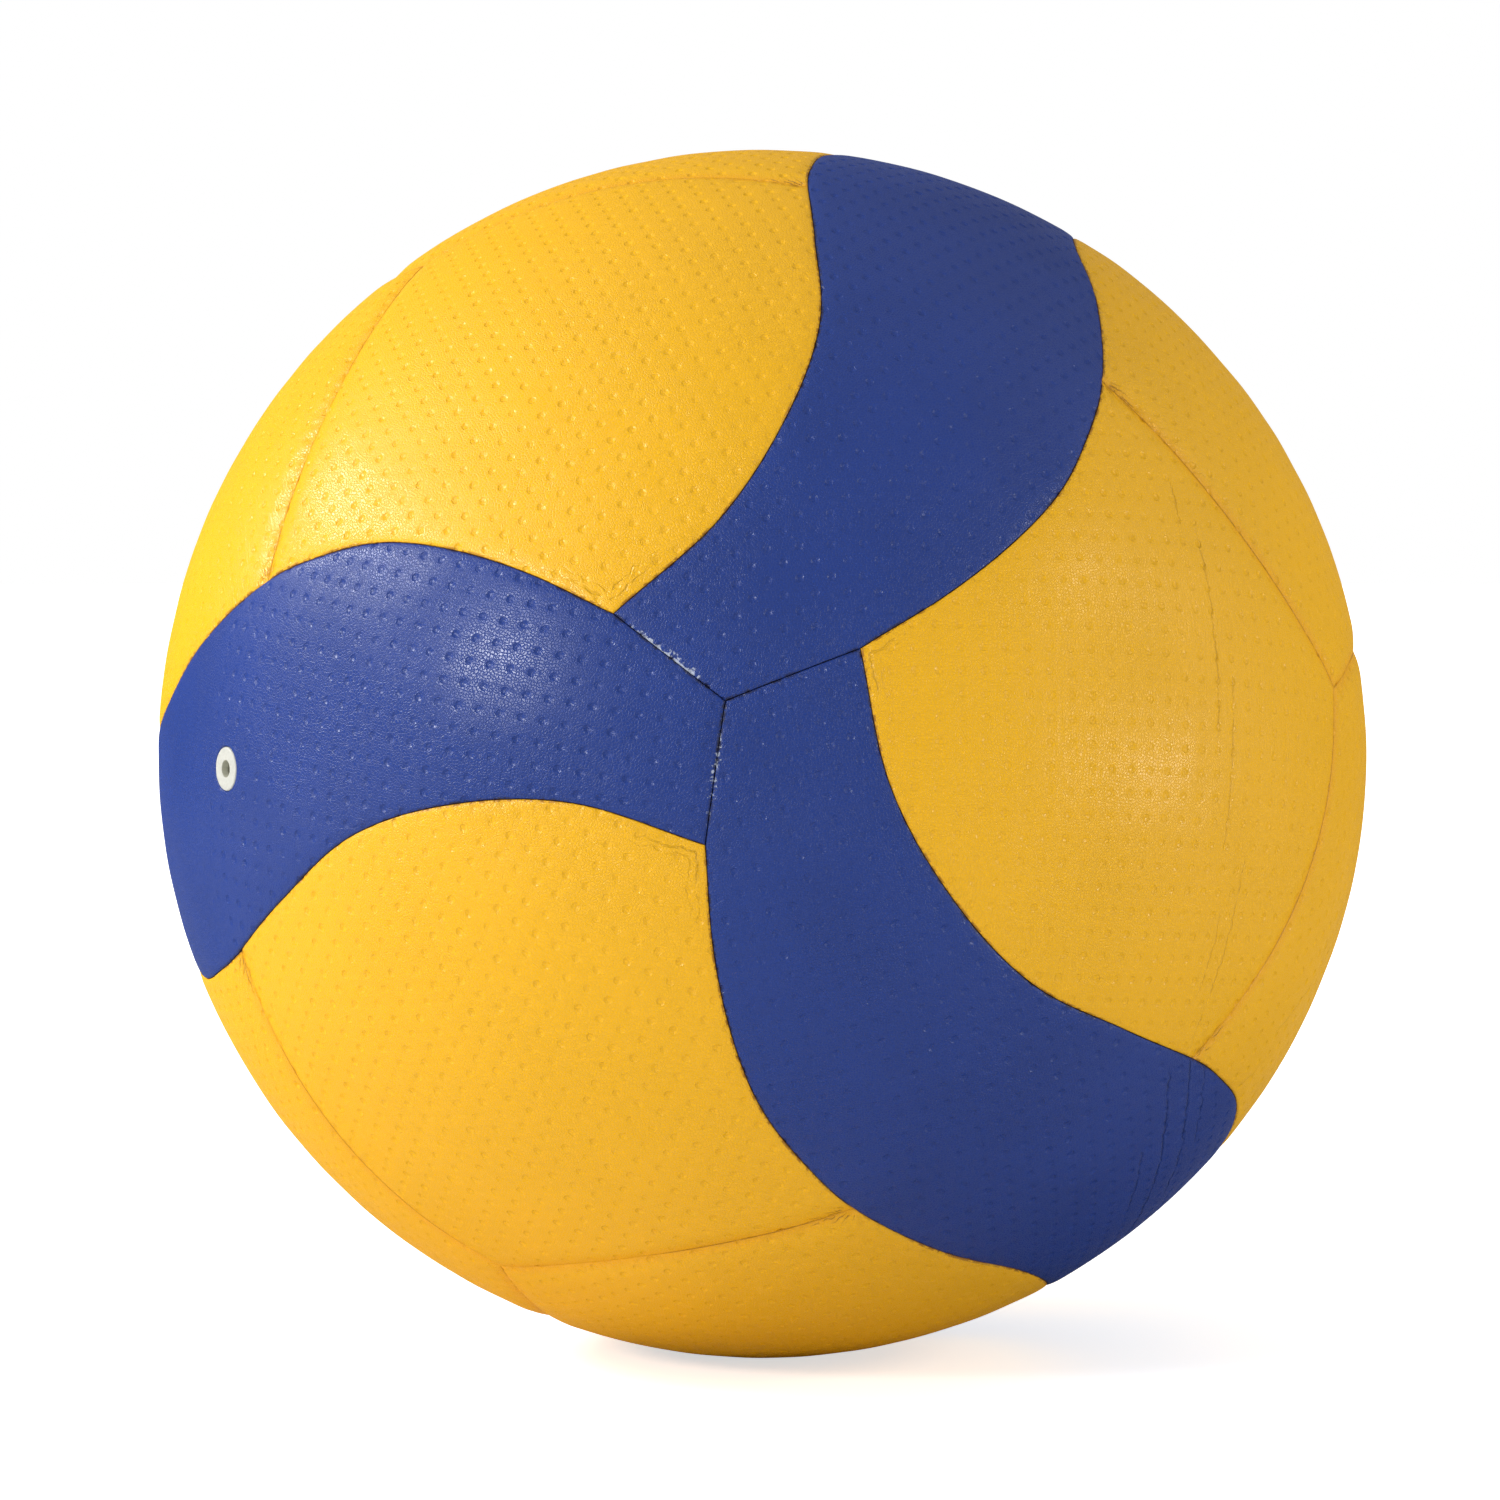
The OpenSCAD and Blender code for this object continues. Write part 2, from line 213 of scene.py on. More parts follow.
def blue_sides():
    """A band's four sides, anticlockwise from outside, and the seams that bound it by kind."""
    corner, long_seam, _ = seams()
    end = (corner @ TURN)[::-1]
    first = [np.vstack([corner[:-1], long_seam]), end]
    sides = [*first, *(s @ HALF_TURN for s in first)]
    tight = [long_seam, long_seam @ HALF_TURN, corner, end @ HALF_TURN, end, corner @ HALF_TURN]
    return sides, tight, []


def yellow_sides():
    """A yellow panel's four sides, anticlockwise from outside, and the seams that bound it by kind."""
    _, long_seam, short_seam = seams()
    fork = (len(SWELL) - 1) * SEAM_STEPS
    beside, before = (long_seam[fork:] @ TURN.T)[::-1], long_seam[: fork + 1][::-1]
    sides = [beside, short_seam @ TURN.T, short_seam[::-1], before]
    return sides, [beside, before], [sides[1], sides[2]]


def lengths(run, radius):
    return np.concatenate([[0], np.cumsum(norm(np.diff(run, axis=0), axis=1))]) * radius


def inset_sides(sides, distances, radius):
    """Moves each side inwards along the ball, square to its run, by its own distance.

    It is trimmed where the moved sides cross: at (neighbour's distance + own distance * cosine) / sine
    of the corner.
    """
    heading = [unit(np.gradient(s, axis=0)) for s in sides]
    corners = [np.arccos(-heading[k - 1][-1] @ heading[k][0]) for k in range(4)]
    moved = []
    for k, (s, h) in enumerate(zip(sides, heading)):
        at = lengths(s, radius)
        own, start, stop = distances[k], corners[k], corners[(k + 1) % 4]
        first = (distances[k - 1] + own * np.cos(start)) / np.sin(start)
        last = (distances[(k + 1) % 4] + own * np.cos(stop)) / np.sin(stop)
        to = np.linspace(first, at[-1] - last, len(s))
        inner = unit(s + own / radius * np.cross(s, h))
        moved.append(unit(np.stack([np.interp(to, at, inner[:, a]) for a in range(3)], 1)))
    for k in range(4):
        meet = (moved[k - 1][-1] + moved[k][0]) / 2
        moved[k - 1][-1] = moved[k][0] = unit(meet)
    return moved


def graded(length, spacing):
    """Shares of a length from 0 to 1: fine steps that grow away from both ends, and even ones between.

    The count is odd, so that one line runs through the middle.
    """
    count = 2 * int(np.ceil((length - 2 * RIM[-1]) / spacing / 2))
    even = np.linspace(RIM[-1], length - RIM[-1], count + 1)[1:-1]
    return np.concatenate([RIM, even, length - np.array(RIM)[::-1]]) / length


def run_at(side, share):
    at = lengths(side, 1)
    return unit(np.stack([np.interp(share * at[-1], at, side[:, a]) for a in range(3)], 1))


def patch(sides, u, v):
    """A surface on the ball between four sides: facing sides blended in each direction, less the corners."""
    low, right, high, left = (run_at(s, share) for s, share in zip(sides, (u, v, 1 - u, 1 - v)))
    u, v = u[:, None, None], v[None, :, None]
    corners = (1 - u) * ((1 - v) * low[0] + v * high[0]) + u * ((1 - v) * low[-1] + v * high[-1])
    return unit((1 - v) * low[:, None] + v * high[:, None] + (1 - u) * left[None] + u * right[None] - corners)


def distance_to(points, runs, radius):
    """Least distance from each point to the straight pieces of some runs, and how far along its foot lies."""
    p = points.reshape(-1, 3) * radius
    a = np.vstack([r[:-1] for r in runs]) * radius
    ab = np.vstack([r[1:] for r in runs]) * radius - a
    square = (ab**2).sum(1)
    start = np.concatenate([lengths(r, radius)[:-1] for r in runs])
    best, foot = np.empty(len(p)), np.empty(len(p))
    for part in np.array_split(np.arange(len(p)), max(1, len(p) // 2000)):
        q = p[part]
        along = q @ ab.T - (a * ab).sum(1)
        t = np.clip(along / square, 0, 1)
        apart = (q**2).sum(1)[:, None] + (a**2).sum(1) - 2 * q @ a.T - t * (2 * along - t * square)
        near = apart.argmin(1)
        rows = np.arange(len(part))
        best[part] = np.sqrt(np.maximum(apart[rows, near], 0))
        foot[part] = start[near] + t[rows, near] * np.sqrt(square[near])
    return best.reshape(points.shape[:-1]), foot.reshape(points.shape[:-1])


def rolled(distance, width, depth):
    """Quarter ellipse: the depth at the edge, and nothing from the width inwards."""
    x = np.clip(1 - distance / width, 0, 1)
    return depth * (1 - np.sqrt(1 - x * x))


def sloped(distance, width, depth):
    """Parabola: the depth at the edge, and nothing from the width inwards."""
    return depth * np.clip(1 - distance / width, 0, 1) ** 2


def waves(points, rng, length, count=9):
    """Even noise from -1 to 1: a sum of sine waves in directions, and with starts, drawn by lot."""
    ways = unit(rng.normal(size=(count, 3))) * 2 * np.pi / (length * rng.uniform(0.7, 1.5, (count, 1)))
    return np.sin(points @ ways.T + rng.uniform(0, 2 * np.pi, count)).sum(-1) / np.sqrt(count)


def chart(points, centre, right, radius):
    """Flat map of a panel: each point keeps its distance along the ball and its bearing from the centre."""
    x = unit(right - (right @ centre) * centre)
    y = np.cross(centre, x)
    flat = np.stack([points @ x, points @ y], -1)
    size = norm(flat, axis=-1, keepdims=True)
    return flat / np.maximum(size, 1e-9) * np.arctan2(size, (points @ centre)[..., None]) * radius


def carried(copy):
    """Turn that carries a panel to one of its twelve places, and then lies the ball as in the photo."""
    return LIE @ np.linalg.matrix_power(THIRD_TURN, copy % 3) @ FLIPS[copy // 3]


def turned_by(flat, degrees):
    c, s = np.cos(np.radians(degrees)), np.sin(np.radians(degrees))
    return np.stack([flat[..., 0] * c + flat[..., 1] * s, flat[..., 1] * c - flat[..., 0] * s], -1)


def loop_round(low, high):
    """Grid places round a rectangle, anticlockwise from its low corner."""
    (a, b), (c, d) = low, high
    i, j = np.arange(a, c), np.arange(b, d)
    runs = ((i, b + 0 * i), (c + 0 * j, j), (a + c - i, d + 0 * i), (a + 0 * j, b + d - j))
    return np.vstack([np.stack(run, 1) for run in runs])


class Panel:
    """One kind of panel: its grid on the ball, distances, faces and maps, all in millimetres."""

    def __init__(self, sides, tight, valleys, centre, right, grid, sizes):
        self.sizes, self.radius = sizes, sizes.diameter / MM / 2
        self.gap, self.crack = sizes.gap / MM / 2, sizes.crack / MM / 2
        gaps = [self.crack if any(s is v for v in valleys) else self.gap for s in sides]
        self.u, self.v = (graded(length, sizes.spacing / MM) for length in grid)
        self.grid = patch(inset_sides(sides, gaps, self.radius), self.u, self.v)
        self.tight = distance_to(self.grid, tight, self.radius)[0]
        self.valley = np.full(self.tight.shape, NO_SEAM)
        if valleys:
            self.valley = distance_to(self.grid, valleys, self.radius)[0]
        self.sides, self.tight_runs, self.valleys = sides, tight, valleys
        self.flat = chart(self.grid, centre, right, self.radius)
        self.middle = (len(self.u) // 2, len(self.v) // 2)
        self.holed = False

    def open_hole(self, radius, steps=6, reach=12):
        """Draws the grid's square loops round its middle in to a round hole.

        Their bearing stays, and their distance grows from the hole's edge, at the loop of the given steps,
        to that of the loop of the given reach.
        """
        i, j = np.indices(self.grid.shape[:2])
        ring = np.maximum(abs(i - self.middle[0]), abs(j - self.middle[1]))
        bearing = np.arctan2(self.flat[..., 1], self.flat[..., 0])
        away = norm(self.flat, axis=-1)
        outer = ring == reach
        order = np.argsort(bearing[outer])
        limit = np.interp(bearing, bearing[outer][order], away[outer][order], period=2 * np.pi)
        share = np.interp(ring, range(steps, reach + 1), [0, 0.025, 0.08, 0.17, 0.33, 0.6, 1])
        away = np.where(ring < reach, radius + share * (limit - radius), away)
        moved, way = (ring < reach)[..., None], np.stack([np.cos(bearing), np.sin(bearing)], -1)
        self.flat = np.where(moved, away[..., None] * way, self.flat)
        turn = away[..., None] / self.radius
        drawn = np.cos(turn) * MIDDLE + np.sin(turn) * (way @ [AHEAD, np.cross(MIDDLE, AHEAD)])
        self.grid = np.where(moved, drawn, self.grid)
        self.holed, self.hole, self.hole_steps = True, away - radius, steps

    def sunk(self, rng, lattice, row_angle, specks, kept_dimples):
        """Depth of the skin under the ball's surface, and the fields that the leather reads.

        The depth is the greater of a band seam's and a valley's roll, slope and sag, plus slight waves,
        gathered folds, and the dimples, each a raised cosine round its middle.
        """
        s, points = self.sizes, self.grid * self.radius
        edge = np.minimum(self.tight, self.valley)
        roll = s.roll / MM
        band = rolled(self.tight - self.gap, roll, BAND_ROLL) + sloped(self.tight, s.fall / MM, BAND_FALL)
        valley = rolled(self.valley - self.crack, roll, VALLEY_ROLL)
        valley += sloped(self.valley, s.valley / MM, s.valley_depth / MM)
        depth = np.maximum(
            band + BAND_SAG * np.exp(-self.tight / BAND_SAG_REACH),
            valley + VALLEY_SAG * np.exp(-self.valley / VALLEY_SAG_REACH),
        )
        for height, wave, full in SKIN_WAVES:
            depth += height * (1 + waves(points, rng, wave)) * np.clip(edge / full, 0, 1)
        none = np.zeros(edge.shape)
        fields = {"seam": self.tight, "valley": self.valley, "fold": none, "tip": none + NO_SEAM, "scuff": none}
        forks = np.full((*edge.shape, 2), NO_CREASE)
        if self.valleys:
            folds, fields["fold"], fields["tip"], forks = self.gathered(rng, points)
            depth += folds
        rows, cell = self.dimple_rows(self.flat, lattice, row_angle)
        table = rng.uniform(*DENT_RANGE, (DENT_TABLE, DENT_TABLE))
        fields["dent"] = table[tuple(np.moveaxis(cell % DENT_TABLE, -1, 0))] * kept_dimples
        off = norm(rows - cell, axis=-1) * 2 * s.pitch / s.dimple
        bowl = (1 + np.cos(np.pi * np.clip(off / DIMPLE_REACH, 0, 1))) / 2
        depth += DIMPLE_SHARE * s.dimple_depth / MM * fields["dent"] * bowl
        if self.holed:
            depth = np.maximum(depth, rolled(self.hole, *HOLE_ROLL)) + HOLE_SAG * np.exp(-self.hole / HOLE_SAG_REACH)
        if specks:
            fields["scuff"] = self.scuffs(points, specks)
        return depth, fields, forks

    def gathered(self, rng, points):
        """The folds gathered along the valley of side 1: two sine waves along it that fade away from it.

        Also the strength of wrinkles, the distance from the tip, and places on a flat map round the nearer fork.
        """
        starts = [self.sides[1][0], self.sides[3][0]]
        fork, other, tip = (norm(points - p * self.radius, axis=-1) for p in (*starts, self.sides[0][0]))
        away, along = distance_to(self.grid, [self.sides[1]], self.radius)
        strength = 0.45 + 0.9 * np.exp(-fork / 9) + 0.25 * waves(points, rng, 14)
        along = along + rng.uniform(0, 9)
        pleat = sum(
            share * np.sin(2 * np.pi * along / apart + 1.6 * waves(points, rng, drift))
            for share, apart, drift in FOLDS
        )
        folds = FOLD_HEIGHT * np.clip(strength, 0, 2) * (1 + pleat) * np.exp(-away / 3.4) * np.clip(away / 0.8, 0, 1)
        nearer = np.minimum(fork, other)
        forks = np.full((*away.shape, 2), NO_CREASE)
        for start, onward, reach in zip(starts, (self.sides[1][HEADING], self.sides[2][-1 - HEADING]), (fork, other)):
            spot = chart(self.grid, start, onward, self.radius)
            forks = np.where((reach <= nearer)[..., None], spot, forks)
        wrinkles = np.maximum(0.8 * np.exp(-away / 4) + 0.3 * np.exp(-self.valley / 2), 1.3 * np.exp(-nearer / 5))
        return folds, wrinkles, tip, forks

    def scuffs(self, points, specks):
        """Share of glue specks: strips along a band's ends, in a ring round the corner of three bands."""
        corners = [BLUE_CORNER, BLUE_CORNER @ HALF_TURN]
        reach = np.min([norm(points - corner * self.radius, axis=-1) for corner in corners], 0)
        window = np.clip((reach - 3) / 5, 0, 1) * np.clip((21 - reach) / 5, 0, 1)
        near = [distance_to(self.grid, [run], self.radius)[0] for run in self.tight_runs[2:]]
        strips = [amount * np.exp(-np.clip(d - 0.2, 0, None) / 0.55) for amount, d in zip(specks, near)]
        return window * np.max(strips, 0)

    def dimple_rows(self, flat, lattice, row_angle):
        """Places on the dimples' square lattice, whose whole numbers are the dimples' middles."""
        rows = turned_by(flat, row_angle) / (self.sizes.pitch / MM) - lattice
        return rows, np.floor(rows + 0.5).astype(int)

    def edges_and_lines(self):
        """The loops of the grid's points that get walls, and the grid's lines that cross the back."""
        nu, nv = self.grid.shape[:2]
        loops = [loop_round((0, 0), (nu - 1, nv - 1))]
        if self.holed:
            middle = np.array(self.middle)
            loops.append(loop_round(middle - self.hole_steps, middle + self.hole_steps)[::-1])
        lines = []
        for count, middle in zip((nu, nv), self.middle):
            first = middle % BACK_STEP
            inner = range(first + (BACK_STEP if first < BACK_STEP / 2 else 0), count - 1, BACK_STEP)
            lines.append(sorted({0, count - 1, *inner}))
        return loops, lines

    def build(self, name, place, lattice, row_angle, creased, crease_angle, specks, seed, kept_dimples=1.0):
        """Makes the panel's mesh: the skin, the walls down the seams and a plain back."""
        s, rng = self.sizes, np.random.default_rng(seed)
        nu, nv = self.grid.shape[:2]
        depth, fields, forks = self.sunk(rng, lattice, row_angle, specks, kept_dimples)

        # Vertices: the skin's grid, then the bottom of the walls and the crossings of the back's lines.
        loops, lines = self.edges_and_lines()
        back = np.full((nu, nv), -1)
        for spots in (*loops, np.array([(i, j) for i in lines[0] for j in lines[1]])):
            back[tuple(spots.T)] = 0
        if self.holed:
            back[self.middle] = -1
        kept = np.argwhere(back == 0)
        behind = tuple(kept.T)
        back[behind] = nu * nv + np.arange(len(kept))
        skin_spots = (self.grid * (self.radius - depth)[..., None]).reshape(-1, 3)
        spots = np.vstack([skin_spots, self.grid[behind] * (self.radius - s.thickness / MM)]) @ place.T
        floor = -(self.radius - s.flat / MM)
        over = spots[:, 2] - floor
        spots[:, 2] = floor + (over + np.sqrt(over**2 + FLAT_SOFTNESS**2)) / 2

        # Faces: the skin's squares, the walls, and wide back faces that take in the walls' fine points.
        i, j = (k.ravel() for k in np.indices((nu - 1, nv - 1)))
        if self.holed:
            solid = np.maximum(abs(i + 0.5 - self.middle[0]), abs(j + 0.5 - self.middle[1])) > self.hole_steps
            i, j = i[solid], j[solid]
        skin = np.stack([i * nv + j, (i + 1) * nv + j, (i + 1) * nv + j + 1, i * nv + j + 1], 1)
        walls, wall_sheet = [], []
        for loop in loops:
            after = np.roll(loop, -1, 0)
            walls.append(np.stack([after @ [nv, 1], loop @ [nv, 1], back[tuple(loop.T)], back[tuple(after.T)]], 1))
            t = np.arange(len(loop) + 1) / len(loop)
            heights = np.broadcast_to([WALL_HIGH, WALL_HIGH, WALL_LOW, WALL_LOW], (len(loop), 4))
            wall_sheet.append(np.stack([np.stack([t[1:], t[:-1], t[:-1], t[1:]], 1), heights], -1))
        walls, wall_sheet = np.vstack(walls), np.vstack(wall_sheet)
        backs = [
            [back[p] for p in self.back_ring((a, c), (b, d)) if back[p] >= 0][::-1]
            for a, b in zip(lines[0], lines[0][1:])
            for c, d in zip(lines[1], lines[1][1:])
        ]
        mesh = bpy.data.meshes.new(name)
        faces = [*skin.tolist(), *walls.tolist(), *backs]
        mesh.from_pydata(spots * MM, [], faces)
        mesh.polygons.foreach_set("use_smooth", np.arange(len(faces)) < len(faces) - len(backs))

        # Maps: the dimples' lattice, the creases, the forks, and one that fills a square for baking.
        corner = np.concatenate([np.asarray(f) for f in faces])
        flat = np.vstack([self.flat.reshape(-1, 2), self.flat[behind]])
        self.add_map(mesh, "dimples", self.dimple_rows(flat, lattice, row_angle)[0][corner])
        crease = turned_by(flat, crease_angle) if crease_angle is not None else flat[:, ::-1]
        crease = turned_by(crease, creased[0]) + creased[1:] if creased else crease + NO_CREASE
        self.add_map(mesh, "creases", crease[corner])
        forks = np.vstack([forks.reshape(-1, 2), np.full((len(kept), 2), NO_CREASE)])
        self.add_map(mesh, "forks", forks[corner])
        across = np.stack(np.meshgrid(self.u, self.v, indexing="ij"), -1)
        sheet = np.vstack([
            across.reshape(-1, 2) * [1, SKIN_HEIGHT] + [0, SKIN_LOW],
            across[behind] * [1, BACK_HEIGHT] + [0, SHEET_MARGIN],
        ])[corner]
        sheet[skin.size : skin.size + walls.size] = wall_sheet.reshape(-1, 2)
        self.add_map(mesh, "OFBake", sheet * [SHEET_WIDTH, 1] + [SHEET_MARGIN, 0])
        for label, values in fields.items():
            layer = mesh.attributes.new(label, "FLOAT", "POINT")
            values = np.concatenate([values.ravel(), np.full(len(kept), BEHIND.get(label, 0.0))])
            layer.data.foreach_set("value", values.astype(np.float32))
        if self.holed:
            used = np.zeros(len(spots), bool)
            used[corner] = True
            self.drop(mesh, ~used)
        mesh.validate()
        mesh.update()
        return mesh

    def back_ring(self, low, high):
        """The grid's places round one face of the back, which runs along the hole's square and not through it."""
        ring = [tuple(p) for p in loop_round(low, high).tolist()]
        if not self.holed or self.middle not in ring:
            return ring
        n, way, middle = self.hole_steps, ring.index(self.middle), np.array(self.middle)
        ring = [p for p in ring[way + 1 :] + ring[:way] if abs(np.array(p) - middle).max() > n]
        first, last = (np.sign(np.array(p) - middle) * n for p in (ring[-1], ring[0]))
        way_in = np.linspace(first, first + last, n + 1)
        way_out = np.linspace(first + last, last, n + 1)[1:]
        return ring + [tuple(p) for p in (np.rint([*way_in, *way_out]).astype(int) + middle).tolist()]

    @staticmethod
    def add_map(mesh, name, places):
        layer = mesh.uv_layers.new(name=name)
        layer.uv.foreach_set("vector", places.astype(np.float32).ravel())

    @staticmethod
    def drop(mesh, loose):
        """Takes out the grid's points that the hole leaves without a face."""
        bm = bmesh.new()
        bm.from_mesh(mesh)
        bmesh.ops.delete(bm, geom=[v for v, gone in zip(bm.verts, loose) if gone], context="VERTS")
        bm.to_mesh(mesh)
        bm.free()


def revolve(name, profile, steps=96):
    """Carries a closed profile round the valve's axis, which points to -X.

    A place of the profile is its distance from the axis and its height along it, in millimetres.
    """
    r, h = np.asarray(profile, float).T
    turn = np.arange(steps)[:, None] * 2 * np.pi / steps
    spots = np.stack([np.broadcast_to(-h, (steps, len(h))), r * np.cos(turn), r * np.sin(turn)], -1)
    n = len(r)
    i, j = (k.ravel() for k in np.indices((steps, n)))
    beside, above = (i + 1) % steps, (j + 1) % n
    quads = np.stack([i * n + j, beside * n + j, beside * n + above, i * n + above], 1)
    mesh = bpy.data.meshes.new(name)
    mesh.from_pydata(spots.reshape(-1, 3) * MM, [], quads.tolist())
    mesh.polygons.foreach_set("use_smooth", np.ones(len(mesh.polygons), bool))
    mesh.set_sharp_from_angle(angle=np.radians(SHARP_ANGLE))
    return mesh


def rounded(corners, steps=5):
    """Rounds the corners of a closed profile with arcs that touch both sides.

    A corner is its place and the arc's radius. An arc takes up no more than half of a side.
    """
    corners = np.asarray(corners, float)
    p, made = corners[:, :2], []
    for k, radius in enumerate(corners[:, 2]):
        before, here, after = p[k - 1], p[k], p[(k + 1) % len(p)]
        if not radius:
            made.append(here[None])
            continue
        a, b = unit(before - here), unit(after - here)
        half = np.arccos(np.clip(a @ b, -1, 1)) / 2
        reach = min(radius / np.tan(half), norm(before - here) / 2, norm(after - here) / 2)
        centre = here + unit(a + b) * np.hypot(reach, reach * np.tan(half))
        t = np.linspace(0, 1, steps + 1)[:, None]
        bow = (1 - t) * (here + a * reach) + t * (here + b * reach)
        made.append(centre + unit(bow - centre) * (reach * np.tan(half)))
    return np.vstack(made)


class Value:
    """A number that varies over a surface: the output of a node, with arithmetic that adds Math nodes."""

    def __init__(self, finish, socket):
        self.finish, self.socket = finish, socket

    def math(self, operation, *others):
        return self.finish.add("ShaderNodeMath", dict(enumerate((self, *others))), operation=operation)

    def __rsub__(self, other):
        return self.finish.add("ShaderNodeMath", {0: other, 1: self}, operation="SUBTRACT")

    __add__ = __radd__ = partialmethod(math, "ADD")
    __mul__ = __rmul__ = partialmethod(math, "MULTIPLY")
    __sub__, __truediv__ = partialmethod(math, "SUBTRACT"), partialmethod(math, "DIVIDE")
    least, most = partialmethod(math, "MINIMUM"), partialmethod(math, "MAXIMUM")
    size = partialmethod(math, "ABSOLUTE")

    def ridge(self):
        """1 where a noise crosses its middle, and 0 from a ninth away on both sides."""
        return (1 - (self - 0.5).size() * 9.0).most(0.0)

    def rise(self, start, stop):
        """0 up to start, 1 from stop on, and an S curve between. Start may lie above stop."""
        sockets = {0: self, 1: start, 2: stop, 3: 0.0, 4: 1.0}
        return self.finish.add("ShaderNodeMapRange", sockets, interpolation_type="SMOOTHSTEP")

    def out(self, name):
        return Value(self.finish, self.socket.node.outputs[name])


class Finish:
    """A material, or the world, and the nodes that make it."""

    def __init__(self, name, kind="materials"):
        self.owner = getattr(bpy.data, kind).new(name)
        self.owner.use_nodes = True
        self.nodes, self.links = self.owner.node_tree.nodes, self.owner.node_tree.links
        self.nodes.clear()

    def add(self, kind, sockets=(), **settings):
        """Adds a node of a type, with its settings first and then its sockets' values or links."""
        node = self.nodes.new(kind)
        for key, value in settings.items():
            setattr(node, key, value)
        for key, value in dict(sockets).items():
            if isinstance(value, Value):
                self.links.new(value.socket, node.inputs[key])
            else:
                node.inputs[key].default_value = value
        return Value(self, next(o for o in node.outputs if o.enabled)) if node.outputs else None

    def vector(self, operation, *inputs, scale=None):
        sockets = dict(enumerate(inputs)) if scale is None else {0: inputs[0], "Scale": scale}
        return self.add("ShaderNodeVectorMath", sockets, operation=operation)

    def mix(self, share, first, second):
        return self.add("ShaderNodeMix", {0: share, 6: first, 7: second}, data_type="RGBA").out(2)

    def noise(self, scale, detail=2.0, roughness=0.5, place=None):
        sockets = {"Vector": place or self.place, "Scale": scale, "Detail": detail, "Roughness": roughness}
        return self.add("ShaderNodeTexNoise", sockets)

    def drift(self, scale, detail, width):
        """Noise about zero, stretched to a width in millimetres."""
        return (self.noise(scale, detail) - 0.5) * width

    def attribute(self, name):
        return self.add("ShaderNodeAttribute", attribute_name=name).out("Fac")

    def map(self, name):
        return self.add("ShaderNodeUVMap", uv_map=name)

    def split(self, place):
        return self.add("ShaderNodeSeparateXYZ", {0: place})

    @cached_property
    def place(self):
        """The place on the object, in metres."""
        return self.add("ShaderNodeTexCoord").out("Object")

    def surface(self, colour, roughness, height=None, matte_limb=0.0, **constants):
        """Ends the material: a height in millimetres becomes a bump of true depth."""
        sockets = {"Base Color": colour, "Roughness": roughness}
        if height is not None:
            sockets["Normal"] = self.add("ShaderNodeBump", {"Strength": 1.0, "Distance": MM, "Height": height})
        sockets.update({key.replace("_", " "): value for key, value in constants.items()})
        shader = self.add("ShaderNodeBsdfPrincipled", sockets)
        if matte_limb:
            # Fine pores shade one another at a low angle, so the gloss fades there instead of growing.
            matte = self.add("ShaderNodeBsdfPrincipled", {**sockets, "Specular IOR Level": 0.0})
            facing = self.add("ShaderNodeLayerWeight", {"Blend": 0.5}).out("Facing")
            low = facing.rise(0.3, 0.8) * matte_limb
            shader = self.add("ShaderNodeMixShader", {0: low, 1: shader, 2: matte})
        self.add("ShaderNodeOutputMaterial", {"Surface": shader})
        return self.owner


def creased(f, creases):
    """Depth and painted shade of creases along their map: grooves with a soft shoulder, broken into dashes."""
    along = f.split(f.map("creases"))
    wander = f.drift(420.0, 2.0, 1.4) + f.drift(50.0, 1.0, 1.6) + f.drift(1100.0, 1.0, 0.5)
    across = along.out("Y") + wander
    dashes = 0.25 + 0.75 * f.noise(260.0, 2.0, 0.6).rise(0.36, 0.5)
    deep, crease_shade = 0.0, 0.0
    for middle, start, stop, amount in creases:
        aside = across - middle
        off = aside.size()
        window = along.rise(start, start + 5) * along.rise(stop, stop - 5) * dashes
        groove = off.rise(0.3, 0.0) - 0.45 * (aside - 0.55).size().rise(0.45, 0.0) + 0.3 * off.rise(1.2, 0.2)
        deep = groove * window * amount + deep
        # Painted shade along each crease's groove.
        crease_shade = off.rise(0.17, 0.03) * window + crease_shade
    return deep, crease_shade


def cracked(f):
    """Strength of the short cracks that fan out from a fork on both sides of its seam."""
    fork = f.map("forks")
    reach, spread = f.vector("LENGTH", fork).out("Value"), f.split(fork)
    beside, wobble, crack = spread.out("Y").size(), f.drift(500.0, 2.0, 1.3), 0.0
    for slope, start, stop in FORK_CREASES:
        off = (beside - spread * np.sin(slope) / np.cos(slope) + wobble).size() * np.cos(slope)
        crack = off.rise(0.15, 0.03) * reach.rise(start, start + 1) * reach.rise(stop, stop - 3) + crack
    return crack.least(1.0) * f.noise(420.0).rise(0.38, 0.5)


